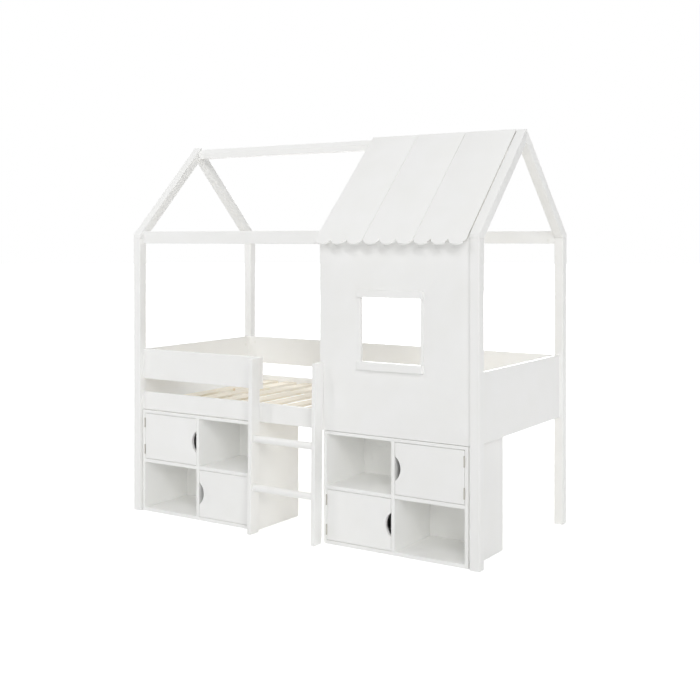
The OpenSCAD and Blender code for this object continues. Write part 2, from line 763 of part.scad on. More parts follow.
// Hinge screws of a door: side -1 into the unit's wall, 1 into the door's edge
function hinge_screws(side) = [
    for (z = hinge_rows, dz = leaf_screw_rows)
        [[side < 0 ? leaf_t : door_gap - leaf_t, leaf_screw_y, z + dz], [side, 0, 0], hinge_screw_l]];
module hinge_screw_bores(d, side) {
    at_door(d) screw_bores(hinge_screws(side), hinge_screw_r, hinge_screw_r + leaf_t, leaf_t);
}
module hinge_screw_set(d, side) {
    at_door(d) for (s = hinge_screws(side)) screw(s, hinge_screw_r, hinge_screw_r + leaf_t, leaf_t);
}
module door(d) {
    color(white_paint) difference() {
        at_door(d) difference() {
            box([door_gap, door_x1], [0, board_t], [door_gap, cubby_h - door_gap]);
            translate([door_x1 + cutout_r - cutout_d, -through, cubby_h / 2]) rotate([-90, 0, 0])
                cylinder(r = cutout_r, h = board_t + 2 * through);
        }
        hinge_screw_bores(d, 1);
    }
}
module left_unit_upper_door() door(left_upper);
module left_unit_lower_door() door(left_lower);
module right_unit_upper_door() door(right_upper);
module right_unit_lower_door() door(right_lower);

// One leaf of a hinge with its own knuckles, centred on z = 0
module hinge_leaf(x, own) {
    difference() {
        union() {
            box([x, x + leaf_t], [0, leaf_w], [-hinge_h / 2, hinge_h / 2]);
            for (k = own) {
                z = [k * knuckle_l + (k > 0 ? fit_gap : 0) - hinge_h / 2,
                    (k + 1) * knuckle_l - (k < knuckles - 1 ? fit_gap : 0) - hinge_h / 2];
                box([x, x + leaf_t], [hinge_y, 0], z);
                translate([hinge_x, hinge_y, z[0]]) cylinder(r = knuckle_r, h = z[1] - z[0]);
            }
        }
        translate([hinge_x, hinge_y, -hinge_h]) cylinder(r = pin_r + pin_gap, h = 2 * hinge_h);
    }
}
module hinge_frame_leaves() {
    color(steel) for (d = doors) difference() {
        at_door(d) for (z = hinge_rows) translate([0, 0, z]) hinge_leaf(0, [0, 2, 4]);
        hinge_screw_bores(d, -1);
    }
}
module hinge_pins() {
    color(steel) for (d = doors) at_door(d) for (z = hinge_rows)
        translate([hinge_x, hinge_y, z - hinge_h / 2]) {
            cylinder(r = pin_r, h = hinge_h);
            translate([0, 0, -pin_head_h]) cylinder(r = pin_head_r, h = pin_head_h);
            translate([0, 0, hinge_h]) cylinder(r = pin_head_r, h = pin_head_h);
        }
}
module door_fittings(d) {
    color(steel) {
        difference() {
            at_door(d) for (z = hinge_rows) translate([0, 0, z])
                hinge_leaf(door_gap - leaf_t, [1, 3]);
            hinge_screw_bores(d, 1);
        }
        hinge_screw_set(d, 1);
        at_door(d) translate([cubby_w - catch_edge - strike.x, board_t, cubby_h - catch.z])
            cube(strike);
    }
}
module left_unit_upper_door_fittings() door_fittings(left_upper);
module left_unit_lower_door_fittings() door_fittings(left_lower);
module right_unit_upper_door_fittings() door_fittings(right_upper);
module right_unit_lower_door_fittings() door_fittings(right_lower);
module magnetic_catches() {
    color("whitesmoke") for (d = doors) at_door(d)
        translate([cubby_w - catch_edge - catch.x, board_t + strike.y + small_gap, cubby_h - catch.z])
            cube(catch);
}

// ---- Fasteners of the frame ----

module cam_locks() {
    color(steel) for (c = all_cams) cam_lock(c);
}
module cam_bolts() {
    color(steel) for (c = all_cams) cam_bolt(c);
}
module wooden_dowels() {
    color(pine) for (d = all_dowels) dowel(d);
}
module wood_screws() {
    color(steel) {
        for (s = all_screws) screw(s);
        for (d = doors) hinge_screw_set(d, -1);
    }
}

placed() post_front_left();
placed() post_front_right();
placed() post_rear_left();
placed() post_rear_right();
placed() rafter_front_left();
placed() rafter_front_right();
placed() rafter_rear_left();
placed() rafter_rear_right();
placed() ridge_beam();
placed() eaves_rail_front();
placed() eaves_rail_rear();
placed() end_panel_left();
placed() end_panel_right();
placed() guard_board_front();
placed() guard_board_rear();
placed() side_rail_front();
placed() side_rail_rear();
placed() slat_ledgers();
placed() slats();
placed() front_panel();
placed() window_lintel();
placed() window_sill();
placed() window_jambs();
placed() roof_board_left();
placed() roof_board_middle();
placed() roof_board_right();
placed() ladder_stile_left();
placed() ladder_stile_right();
placed() ladder_rung_lower();
placed() ladder_rung_upper();
placed() ladder_spacer();
placed() left_unit_left_side();
placed() left_unit_right_side();
placed() left_unit_bottom();
placed() left_unit_top();
placed() left_unit_divider();
placed() left_unit_shelves();
placed() left_unit_back();
placed() right_unit_left_side();
placed() right_unit_right_side();
placed() right_unit_bottom();
placed() right_unit_top();
placed() right_unit_divider();
placed() right_unit_shelves();
placed() right_unit_back();
placed() left_unit_upper_door();
placed() left_unit_lower_door();
placed() right_unit_upper_door();
placed() right_unit_lower_door();
placed() left_unit_upper_door_fittings();
placed() left_unit_lower_door_fittings();
placed() right_unit_upper_door_fittings();
placed() right_unit_lower_door_fittings();
placed() hinge_frame_leaves();
placed() hinge_pins();
placed() magnetic_catches();
placed() cam_locks();
placed() cam_bolts();
placed() wooden_dowels();
placed() wood_screws();
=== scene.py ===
"""Looks of a cabin bed: a house-shaped frame with a scalloped half roof, a window panel, a ladder
and two cubby units. Posts, rafters, front panel, roof boards, ladder, units, doors, catches, screws
and cam locks are rebuilt over their nodes with eased edges, and the other nodes get their finish.

Lengths are in metres. X runs along the bed, the open front faces -Y and the floor is at Z = 0.
"""

import math
from functools import partial

import bpy
import numpy as np
from bpy.props import FloatProperty, FloatVectorProperty, IntProperty, PointerProperty
from bpy.types import Operator, Panel, PropertyGroup
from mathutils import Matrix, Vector


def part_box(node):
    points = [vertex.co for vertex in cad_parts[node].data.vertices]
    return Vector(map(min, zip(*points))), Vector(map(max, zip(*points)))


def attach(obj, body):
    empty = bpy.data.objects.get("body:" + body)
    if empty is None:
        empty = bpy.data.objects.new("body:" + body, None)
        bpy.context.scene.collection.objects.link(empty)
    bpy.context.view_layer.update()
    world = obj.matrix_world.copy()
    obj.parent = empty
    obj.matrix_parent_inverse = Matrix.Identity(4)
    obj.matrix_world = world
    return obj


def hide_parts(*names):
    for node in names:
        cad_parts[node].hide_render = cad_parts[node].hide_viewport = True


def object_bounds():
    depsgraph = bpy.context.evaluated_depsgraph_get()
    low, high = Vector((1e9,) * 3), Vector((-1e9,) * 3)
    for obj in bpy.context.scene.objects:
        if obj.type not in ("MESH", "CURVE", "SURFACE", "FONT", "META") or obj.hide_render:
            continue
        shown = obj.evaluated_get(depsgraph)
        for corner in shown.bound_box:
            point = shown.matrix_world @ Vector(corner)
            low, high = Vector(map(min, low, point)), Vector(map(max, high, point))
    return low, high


bl_info = {
    "name": "Cabin Bed",
    "version": (1, 0, 0),
    "blender": (4, 5, 0),
    "location": "View3D > Sidebar > Cabin Bed",
    "description": "Painted cabin bed with a scalloped half roof, ladder and cubby units",
    "category": "Object",
}

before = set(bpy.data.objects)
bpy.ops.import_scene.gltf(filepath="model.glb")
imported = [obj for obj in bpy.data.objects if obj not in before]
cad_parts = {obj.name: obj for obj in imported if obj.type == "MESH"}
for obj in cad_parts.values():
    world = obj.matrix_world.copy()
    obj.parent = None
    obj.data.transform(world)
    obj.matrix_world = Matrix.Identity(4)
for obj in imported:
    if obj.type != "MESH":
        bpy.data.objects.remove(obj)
cad_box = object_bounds()

BED = "bed_frame"
UNITS = ("left_unit", "right_unit")
DOORS = {
    "left_unit_upper_door": "right",
    "left_unit_lower_door": "left",
    "right_unit_upper_door": "left",
    "right_unit_lower_door": "right",
}
POSTS = ("post_front_left", "post_front_right", "post_rear_left", "post_rear_right")
RAFTERS = ("rafter_front_left", "rafter_front_right", "rafter_rear_left", "rafter_rear_right")
RAILS = (
    "ridge_beam",
    "eaves_rail_front",
    "eaves_rail_rear",
    "guard_board_front",
    "guard_board_rear",
    "side_rail_front",
    "side_rail_rear",
)
END_PANELS = ("end_panel_left", "end_panel_right")
ROOF_BOARDS = ("roof_board_left", "roof_board_middle", "roof_board_right")
STILES = ("ladder_stile_left", "ladder_stile_right")
RUNGS = ("ladder_rung_lower", "ladder_rung_upper")
HINGES = ("hinge_frame_leaves", "hinge_pins") + tuple(name + "_fittings" for name in DOORS)

# A corner is rounded by this share of its board's easing, so that the eased rim never folds
CORNER_SHARE = 1.05
# Easing of the units' boards, the strips beside the window, the lintel and sill, and the stiles,
# as a share of the painted boards' easing
UNIT_EASE = 0.6
JAMB_EASE = 0.8
WINDOW_RAIL_EASE = 1.4
STILE_EASE = 1.5
# Rounding of the other corners of a stile, and easing of a catch
STILE_CORNER = 0.002
CATCH_EASE = 0.0011
# Faces that meet at a wider angle, in degrees, keep a sharp line between them
SHARP_ANGLE = 38
# Steps in the corners of posts and stiles, in a scallop and in a cut-out, and sides of a rung
FINE_STEPS = 8
SCALLOP_STEPS = 28
CUTOUT_STEPS = 32
RUNG_SIDES = 48
# The ledgers lie further apart than this, so each is cut from another part of the log
LEDGER_PITCH = 0.25

# Camera: its place, its angle under the horizon and round Z in degrees, and its lens shift
CAMERA_PLACE = (3.1957, -4.8357, 1.4708)
CAMERA_DROP = 0.4305
CAMERA_TURN = 33.0113
CAMERA_SHIFT = -0.1470
SENSOR = 36
# Place and width of each square lamp, and the point that all of them look at
LAMPS = {
    "main": ((16.0, -16.0, 11.5), 9.0),
    "fill": ((8.0, -22.0, 9.5), 9.0),
    "key": ((-3.5, -4.2, 5.2), 1.0),
    "side": ((24.5, 0.0, 6.1), 9.0),
    "back": ((-8.3, 22.7, 7.4), 9.0),
    "top": ((0.0, -0.4, 25.9), 9.0),
}
LAMP_AIM = (0, 0, 0.9)
# White boards pass light on many times inside the cubbies
DIFFUSE_BOUNCES = 10
# Floor: sides and radii of its rings, and how far it lies under the feet
FLOOR_SIDES = 96
FLOOR_RADII = (0.5, 2, 6, 20, 60)
FLOOR_DROP = 0.0004
# The floor's glow grows from half at the first distance to full at the second
GLOW_DISTANCES = (1.6, 4.5)


# ---- Sizes and colours that a user would change ----


def length_property(name, description, default, low, high):
    """A length in metres and the limits that it may have."""
    return FloatProperty(
        name=name, description=description, default=default, min=low, max=high, unit="LENGTH"
    )


def power_property(name, description, default):
    """Power of a lamp."""
    return FloatProperty(name=name, description=description, default=default, unit="POWER")


def linear(code):
    """A colour written as sRGB hex, in linear light: each channel c becomes c / 12.92 below 0.04045
    and ((c + 0.055) / 1.055) to the power 2.4 above it."""
    c = np.array([int(code[i : i + 2], 16) for i in (1, 3, 5)]) / 255
    return tuple(float(v) for v in np.where(c <= 0.04045, c / 12.92, ((c + 0.055) / 1.055) ** 2.4))


def colour_property(name, description, code):
    """A colour whose default is written as sRGB hex."""
    return FloatVectorProperty(
        name=name, description=description, default=linear(code), subtype="COLOR", size=3
    )


class CabinBedBoards(PropertyGroup):
    ease: length_property(
        "Eased Edges", "Rounding of the edges of the painted boards", 0.0012, 0.0003, 0.003
    )
    post_arris: length_property(
        "Post Arris", "Rounding of the long edges of the posts", 0.003, 0.001, 0.006
    )
    post_end: length_property(
        "Post Ends",
        "Easing of the sawn ends of the posts, which shows as a fine joint line",
        0.0024,
        0.0003,
        0.004,
    )
    unit_seam: length_property(
        "Seam Over Units",
        "Gap over a storage unit, which shows as a dark line under rail and panel",
        0.0024,
        0.0,
        0.004,
    )
    cutout_height: length_property(
        "Cut-out Height", "Height of the half-moon finger cut-out in a door", 0.114, 0.06, 0.15
    )
    cutout_depth: length_property(
        "Cut-out Depth", "Depth of the half-moon finger cut-out in a door", 0.029, 0.015, 0.045
    )
    jamb_width: length_property(
        "Jamb Strip", "Width of the strips beside the window", 0.016, 0.008, 0.03
    )
    stile_depth: length_property(
        "Stile Depth", "Depth of a ladder stile from front to back", 0.065, 0.04, 0.1
    )
    stile_round: length_property(
        "Stile Rounding", "Rounding of the front corner at the top of a stile", 0.008, 0.002, 0.02
    )


class CabinBedRoof(PropertyGroup):
    pitch: FloatProperty(
        name="Pitch",
        description="Slope of the roof boards",
        default=math.radians(45),
        subtype="ANGLE",
    )
    thickness: length_property("Board Thickness", "Thickness of a roof board", 0.010, 0.005, 0.02)
    scallops: IntProperty(
        name="Scallops",
        description="Number of scallops on each roof board",
        default=3,
        min=1,
        max=6,
    )
    scallop_depth: length_property(
        "Scallop Depth", "Depth of a scallop, from cusp to lobe", 0.030, 0.01, 0.05
    )


class CabinBedFinish(PropertyGroup):
    paint: colour_property("Paint", "White of the satin paint", "#F8F8F7")
    paint_thin: colour_property("Thin Paint", "White where the coat is thinner", "#F6F6F4")
    # Painted shade: the two greys below darken the sawn edge of the right roof board in the gap by
    # the rafter, standing in for the shadow in that gap
    edge: colour_property("Painted Gap Shade", "Painted shade on the sawn edge in the gap by the rafter", "#D8D7D4")
    gap_shade_thin: colour_property("Painted Gap Shade Darker", "A darker painted shade, mixed in at random", "#D0CFCB")
    back: colour_property("Back Panels", "White foil of the back panels", "#F5F5F3")
    pine: colour_property("Early Wood", "Pale wood between the growth rings", "#FCF6EA")
    pine_late: colour_property("Late Wood", "Darker lines of the growth rings", "#F3E8D0")
    knot: colour_property("Knots", "Knots in the pine", "#E8D2B2")
    beech: colour_property("Beech", "Wood of the dowels", "#D9B48A")
    nickel: colour_property("Nickel", "Plating of the hinges", "#B9B6AE")
    zinc: colour_property("Zinc", "Plating of the screws and bolts", "#C4C7C9")
    cam: colour_property("Cam Alloy", "Die-cast alloy of the cam locks", "#A9ABAD")
    catch: colour_property("Catches", "White plastic of the door catches and cover caps", "#F1F1EE")


class CabinBedLight(PropertyGroup):
    main: power_property(
        "Main Light", "Power of the far lamp at the front right, which lights the cubbies", 1520
    )
    fill: power_property(
        "Fill Light", "Power of the far lamp in front, which evens out the fronts", 520
    )
    key: power_property(
        "Key Light", "Power of the near lamp at the upper left, which draws the shadows", 72
    )
    side: power_property("Side Light", "Power of the far lamp at the right", 320)
    back: power_property(
        "Back Light", "Power of the far lamp behind the bed, which reaches the slats", 3000
    )
    top: power_property("Top Light", "Power of the far lamp over the bed", 840)
    sky: FloatProperty(
        name="Surround",
        description="Strength of the even light from all round",
        default=0.35,
        min=0,
        max=2,
    )
    lens: FloatProperty(
        name="Lens",
        description="Focal length on a 36 mm sensor",
        default=56.535,
        subtype="DISTANCE_CAMERA",
    )


# ---- Shapes ----


def unit_vector(v):
    """v divided by its length, for one vector or rows of them."""
    v = np.asarray(v, float)
    return v / np.linalg.norm(v, axis=-1, keepdims=True)


def rounded_outline(corners, radii, steps=5):
    """Outline with its corners rounded, as a function of corner and step.

    At corner P, with unit directions a to the last corner and b to the next and half the angle h
    between them, the arc's centre is P + (a + b) / |a + b| * r / sin h. Its points turn evenly from
    the foot on a's side to the foot on b's side, both r / tan h from P.
    """
    p = np.asarray(corners, float)
    r = np.broadcast_to(np.asarray(radii, float), len(p))[:, None]
    a = unit_vector(np.roll(p, 1, 0) - p)
    b = unit_vector(np.roll(p, -1, 0) - p)
    half = np.arccos(np.clip((a * b).sum(1), -1, 1))[:, None] / 2
    centre = p + unit_vector(a + b) * r / np.sin(half)
    start = (p + a * r / np.tan(half) - centre) / r
    end = (p + b * r / np.tan(half) - centre) / r
    sweep = math.pi - 2 * half[:, :, None]
    t = np.linspace(0, 1, steps + 1)[None, :, None]
    spoke = np.sin((1 - t) * sweep) * start[:, None] + np.sin(t * sweep) * end[:, None]
    return (centre[:, None] + spoke / np.sin(sweep) * r[:, :, None]).reshape(-1, 2)


def rectangle(low, high, radius, steps=5):
    """Outline of a rectangle between two corners, all four rounded."""
    (x0, y0), (x1, y1) = low, high
    return rounded_outline([(x0, y0), (x1, y0), (x1, y1), (x0, y1)], radius, steps)


def mitres(outline):
    """Offset of each outline point for an inward step of 1: the sum of the left normals of its two
    edges divided by 1 plus their dot product, so that both edges move by the same step."""
    edge = unit_vector(np.roll(outline, -1, 0) - outline)
    after = np.stack([-edge[:, 1], edge[:, 0]], 1)
    before = np.roll(after, 1, 0)
    return (before + after) / (1 + (before * after).sum(1, keepdims=True))


def rim(outline, low, high, ease, steps=4):
    """Rim of a board as rings x outline points x 3: a quarter circle of radius ease, the straight
    edge and a second quarter circle, carried round the outline. Ring t of the first quarter is the
    outline moved in by ease (1 - sin t), at ease (1 - cos t) above the low face."""
    t = np.linspace(0, math.pi / 2, steps + 1)
    inset = np.concatenate([1 - np.sin(t), (1 - np.sin(t))[::-1]]) * ease
    level = np.concatenate([low + (1 - np.cos(t)) * ease, high - ((1 - np.cos(t)) * ease)[::-1]])
    flat = outline[None] + inset[:, None, None] * mitres(outline)[None]
    return np.concatenate([flat, np.broadcast_to(level[:, None, None], flat.shape[:2] + (1,))], 2)


def ring_faces(rings, points, first=0):
    """Quads between neighbouring rings of a closed grid, facing away from its inside."""
    k, i = np.meshgrid(np.arange(rings - 1), np.arange(points), indexing="ij")
    j = (i + 1) % points
    here, above = k * points, (k + 1) * points
    return np.stack([here + i, here + j, above + j, above + i], 2).reshape(-1, 4) + first


def slab(outline, low, high, ease, hole=None):
    """A board as points and faces in its own axes: the rim round the outline, closed by two flat
    faces. A hole is a second outline with as many points, and then the faces are quads that join
    point i of the outer rim to point i of the hole's rim."""
    points = rim(outline, low, high, ease)
    rings, count = points.shape[:2]
    verts = points.reshape(-1, 3)
    sides = ring_faces(rings, count)
    last = (rings - 1) * count
    if hole is None:
        caps = [np.arange(count)[::-1], last + np.arange(count)]
        return verts, list(sides), caps
    inner = rim(hole[::-1], low, high, ease).reshape(-1, 3)
    sides = np.concatenate([sides, ring_faces(rings, count, len(verts))])
    i = np.arange(count)
    j = (i + 1) % count
    inside = len(verts) + count - 1
    low_caps = np.stack([j, i, inside - i, inside - j], 1)
    high_caps = np.stack([last + i, last + j, last + inside - j, last + inside - i], 1)
    return np.concatenate([verts, inner]), list(sides), list(low_caps) + list(high_caps)


def laid(shape, u, v, origin=(0, 0, 0)):
    """A shape whose points (a, b, c) are placed at origin + a u + b v + c w, with w the cross
    product of u and v, so that it isn't mirrored."""
    verts, sides, caps = shape
    u, v = np.asarray(u, float), np.asarray(v, float)
    return np.asarray(origin, float) + verts @ np.stack([u, v, np.cross(u, v)]), sides, caps


def joined(parts):
    """Several shapes as one: their points in a row, and their faces counted on."""
    verts, sides, caps, total = [], [], [], 0
    for v, s, c in parts:
        verts.append(v)
        sides += [np.asarray(f) + total for f in s]
        caps += [np.asarray(f) + total for f in c]
        total += len(v)
    return np.concatenate(verts), sides, caps


def piece(name, shape, material, body, nodes=()):
    """Makes a mesh object of a shape's points, curved sides and flat faces, on its body."""
    verts, sides, caps = shape
    mesh = bpy.data.meshes.new(name)
    mesh.from_pydata(verts.tolist(), [], [f.tolist() for f in list(sides) + list(caps)])
    mesh.polygons.foreach_set("use_smooth", np.arange(len(sides) + len(caps)) < len(sides))
    mesh.materials.append(material)
    mesh.update()
    mesh.set_sharp_from_angle(angle=math.radians(SHARP_ANGLE))
    obj = bpy.data.objects.new(name, mesh)
    bpy.context.scene.collection.objects.link(obj)
    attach(obj, body)
    if nodes:
        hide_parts(*nodes)
    return obj


def painted_piece(node, shape, paint, body=BED):
    """The painted piece that stands for a CAD node."""
    return piece(node + "_painted", shape, paint, body, [node])


def corners(node):
    """Lowest and highest corner of a CAD node as arrays."""
    low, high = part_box(node)
    return np.array(low), np.array(high)


def board(low, high, ease):
    """A board between two corners, every edge eased: the rim runs round its two long sides."""
    low, high = np.asarray(low, float), np.asarray(high, float)
    w = int(np.argmin(high - low))
    u, v = (w + 1) % 3, (w + 2) % 3
    outline = rectangle((low[u], low[v]), (high[u], high[v]), ease * CORNER_SHARE)
    axes = np.eye(3)
    return laid(slab(outline, low[w], high[w], ease), axes[u], axes[v])


def face_centre(low, high, run, upper):
    """Centre of the upper or lower face of a box across axis run, and the direction it looks in."""
    centre, axis = (low + high) / 2, np.zeros(3)
    centre[run] = high[run] if upper else low[run]
    axis[run] = 1.0 if upper else -1.0
    return centre, axis


def turned(profile, count=24):
    """A turned shape about the third axis: point i of the profile (radius, height) at angle j is
    (radius cos, radius sin, height). The profile runs from the axis round the outside and back, and
    its two ends are points on the axis that fans close."""
    profile = np.asarray(profile, float)
    angle = np.arange(count) * 2 * math.pi / count
    middle = profile[1:-1]
    ring = np.stack([np.cos(angle), np.sin(angle)], 1)
    grid = np.empty((len(middle), count, 3))
    grid[:, :, :2] = middle[:, None, :1] * ring
    grid[:, :, 2] = middle[:, 1:]
    verts = np.concatenate([grid.reshape(-1, 3), [[0, 0, profile[0, 1]], [0, 0, profile[-1, 1]]]])
    i = np.arange(count)
    j = (i + 1) % count
    last = (len(middle) - 1) * count
    first_fan = np.stack([j, i, np.full(count, len(verts) - 2)], 1)
    last_fan = np.stack([last + i, last + j, np.full(count, len(verts) - 1)], 1)
    sides = list(ring_faces(len(middle), count)) + list(first_fan) + list(last_fan)
    return verts, sides, []


def cross_recess(shape, radius, width, depth, top):
    """Sinks a cross into the end of a turned shape: a point near the top goes down by depth times
    1.3 - d / half the width, held to 0 to 1, with d its distance from the nearer axis. The cross
    runs out over the last 30% of the radius."""
    verts, sides, caps = shape
    x, y, z = verts.T
    off = np.minimum(np.abs(x), np.abs(y)) / (width / 2)
    reach = np.clip((radius - np.hypot(x, y)) / (0.3 * radius), 0, 1)
    sunk = np.clip(1.3 - off, 0, 1) * reach * depth * (z > top - depth)
    return np.stack([x, y, z - sunk], 1), sides, caps


def solids(node):
    """Corners of each separate solid of a CAD node. Points at one place get one number, and each
    solid's number spreads over its triangles as the least number of their points."""
    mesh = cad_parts[node].data
    points = np.zeros(len(mesh.vertices) * 3)
    mesh.vertices.foreach_get("co", points)
    points = points.reshape(-1, 3)
    index = np.zeros(len(mesh.loops), int)
    mesh.loops.foreach_get("vertex_index", index)
    places, same = np.unique(np.round(points, 6), axis=0, return_inverse=True)
    triangles = same.reshape(-1)[index].reshape(-1, 3)
    label = np.arange(len(places))
    while True:
        least = label[triangles].min(1)
        after = label.copy()
        for corner in range(3):
            np.minimum.at(after, triangles[:, corner], least)
        if (after == label).all():
            break
        label = after
    groups = [places[label == g] for g in np.unique(label)]
    return [(g.min(0), g.max(0), g) for g in groups if len(g) > 3]


# ---- Materials ----


def add_node(tree, kind, inputs=None, **settings):
    """Adds a shader node with its settings, and its inputs set to values or linked to a socket, or
    to the first output in use of another node. Inputs that share a name go by number: 0, 6 and 7
    are the factor and colours of a mix, and 0 to 4 a range's value, its ends and its new ends."""
    node = tree.nodes.new("ShaderNode" + kind)
    for name, value in settings.items():
        setattr(node, name, value)
    for name, value in (inputs or {}).items():
        if isinstance(value, bpy.types.Node):
            value = next(socket for socket in value.outputs if socket.enabled)
        if isinstance(value, bpy.types.NodeSocket):
            tree.links.new(value, node.inputs[name])
        else:
            node.inputs[name].default_value = value
    return node


def emptied(owner):
    """Clears the nodes of a material or world, and gives back what adds one to them."""
    owner.use_nodes = True
    owner.node_tree.nodes.clear()
    return partial(add_node, owner.node_tree)


def new_material(name):
    """An empty material, what adds a node to it, and its object coordinates."""
    material = bpy.data.materials.new(name)
    add = emptied(material)
    return material, add, add("TexCoord").outputs["Object"]


def finished(material, add, shader):
    """Links the shader to the surface and gives the material back."""
    add("OutputMaterial", {"Surface": shader})
    return material


def rgba(colour):
    """A property's colour with full cover."""
    return (*colour, 1.0)


def satin_paint(name, coat, thin_coat, along=None, tilt=0.0):
    """Water-based satin paint, sprayed on sanded board or pine: a soft sheen over a white that is a
    little uneven, with a fine orange peel, and along a board of pine the ghost of its grain. The
    grain runs along an axis that is turned by tilt about X."""
    material, add, place = new_material(name)
    # Thickness of the coat drifts over a hand's breadth, 160 mm
    drift = add("TexNoise", {"Vector": place, "Scale": 1 / 0.16, "Detail": 3.0})
    tone = add("MapRange", {0: drift, 1: 0.3, 2: 0.7})
    # Orange peel is 1 mm across, drawn at 5 mm so that it shows in the sheen
    peel = add("TexNoise", {"Vector": place, "Scale": 1 / 0.005, "Detail": 2.0})
    sheen = add("MapRange", {0: peel, 1: 0.25, 2: 0.75, 3: 0.36, 4: 0.46})
    bump = add("Bump", {"Height": peel, "Strength": 0.10, "Distance": 0.0003})
    colour = add("Mix", {0: tone, 6: rgba(coat), 7: rgba(thin_coat)}, data_type="RGBA")
    if along is not None:
        # Growth rings 5 mm apart, drawn out 240 mm along the board, stand up under the coat
        spacing = [0.005] * 3
        spacing[along] = 0.24
        stretch = add(
            "Mapping",
            {"Vector": place, "Rotation": (tilt, 0.0, 0.0), "Scale": spacing},
            vector_type="TEXTURE",
        )
        grain = add("TexNoise", {"Vector": stretch, "Scale": 1.0, "Detail": 3.0, "Distortion": 0.4})
        bump = add("Bump", {"Height": grain, "Normal": bump, "Strength": 0.12, "Distance": 0.0005})
    shader = add(
        "BsdfPrincipled", {"Base Color": colour, "Roughness": sheen, "Normal": bump, "IOR": 1.48}
    )
    return finished(material, add, shader)


def foiled_board(finish):
    """White paper foil on thin fibreboard: flat and duller than the paint, with a faint stipple."""
    material, add, place = new_material("foiled_fibreboard")
    # Press plate stipple is 0.5 mm, drawn at 3 mm so that it shows
    stipple = add("TexNoise", {"Vector": place, "Scale": 1 / 0.003, "Detail": 2.0})
    tone = add(
        "Mix", {0: stipple, 6: rgba(finish.back), 7: rgba(finish.paint_thin)}, data_type="RGBA"
    )
    bump = add("Bump", {"Height": stipple, "Strength": 0.15, "Distance": 0.0002})
    shader = add(
        "BsdfPrincipled", {"Base Color": tone, "Roughness": 0.6, "Normal": bump, "IOR": 1.45}
    )
    return finished(material, add, shader)


def planed_pine(name, finish, along, pitch):
    """Planed, untreated pine: cream early wood and straw late wood in rings that run along each
    board as long flames, a knot here and there, and a dry surface. Boards lie a pitch apart, and
    each is cut from another part of the log."""
    material, add, place = new_material(name)
    across = 1 - along
    axes = add("SeparateXYZ", {0: place})
    cell = add("Math", {0: axes.outputs[across], 1: 1 / pitch}, operation="MULTIPLY")
    number = add("Math", {0: cell}, operation="FLOOR")
    chance = add("TexWhiteNoise", {"W": number}, noise_dimensions="1D")
    shift = add(
        "VectorMath", {0: chance.outputs["Color"], 1: (0.11, 0.9, 0.05)}, operation="MULTIPLY"
    )
    log = add("VectorMath", {0: place, 1: shift}, operation="ADD")
    # The trunk wanders by a few centimetres over half a metre
    scale = [1 / 0.12] * 3
    scale[along] = 1 / 0.5
    slow = add("Mapping", {"Vector": log, "Scale": scale})
    wander = add("TexNoise", {"Vector": slow, "Scale": 1.0})
    bend = add("VectorMath", {0: wander.outputs["Color"], "Scale": 0.05}, operation="SCALE")
    bent = add("VectorMath", {0: log, 1: bend}, operation="ADD")
    centred = add("Mapping", {"Vector": bent, "Location": (0.0, 0.0, -0.56)})
    # Rings 5 mm apart: a wave repeats every 2 pi / 20 at scale 1
    rings = add(
        "TexWave",
        {
            "Vector": centred,
            "Scale": 2 * math.pi / 20 / 0.005,
            "Distortion": 1.2,
            "Detail": 2.0,
            "Detail Scale": 0.6,
        },
        wave_type="RINGS",
        rings_direction="XY"[along],
        wave_profile="SAW",
    )
    late = add(
        "MapRange", {0: rings.outputs["Fac"], 1: 0.35, 2: 1.0}, interpolation_type="SMOOTHSTEP"
    )
    wood = add("Mix", {0: late, 6: rgba(finish.pine), 7: rgba(finish.pine_late)}, data_type="RGBA")
    # Fibres 1.5 mm wide and 60 mm long
    scale = [1 / 0.0015] * 3
    scale[along] = 1 / 0.06
    fine = add("Mapping", {"Vector": log, "Scale": scale})
    fibre = add("TexNoise", {"Vector": fine, "Scale": 1.0, "Detail": 2.0})
    streak = add("MapRange", {0: fibre, 1: 0.3, 2: 0.7, 3: 0.95, 4: 1.02})
    each = add("MapRange", {0: chance.outputs["Value"], 3: 0.95, 4: 1.03})
    tint = add("Math", {0: streak, 1: each}, operation="MULTIPLY")
    shaded = add("VectorMath", {0: wood, "Scale": tint}, operation="SCALE")
    # Knots about 18 mm across, one to every 130 mm of trunk
    spread = 0.13
    knots = add("TexVoronoi", {"Vector": bent, "Scale": 1 / spread})
    spot = add(
        "MapRange",
        {0: knots, 1: 0.011 / spread, 2: 0.007 / spread},
        interpolation_type="SMOOTHSTEP",
    )
    colour = add("Mix", {0: spot, 6: shaded, 7: rgba(finish.knot)}, data_type="RGBA")
    bump = add("Bump", {"Height": late, "Strength": 0.15, "Distance": 0.0004})
    bump = add("Bump", {"Height": fibre, "Normal": bump, "Strength": 0.1, "Distance": 0.0003})
    shader = add(
        "BsdfPrincipled", {"Base Color": colour, "Roughness": 0.62, "Normal": bump, "IOR": 1.5}
    )
    return finished(material, add, shader)


def turned_beech(finish):
    """Beech rod: an even tan with the small dark flecks that beech has."""
    material, add, place = new_material("turned_beech")
    # Flecks 3 mm apart
    flecks = add("TexVoronoi", {"Vector": place, "Scale": 1 / 0.003})
    mark = add("MapRange", {0: flecks, 1: 0.1, 2: 0.5, 3: 0.82})
    colour = add("VectorMath", {0: tuple(finish.beech), "Scale": mark}, operation="SCALE")
    bump = add("Bump", {"Height": flecks, "Strength": 0.1, "Distance": 0.0002})
    shader = add("BsdfPrincipled", {"Base Color": colour, "Roughness": 0.55, "Normal": bump})
    return finished(material, add, shader)


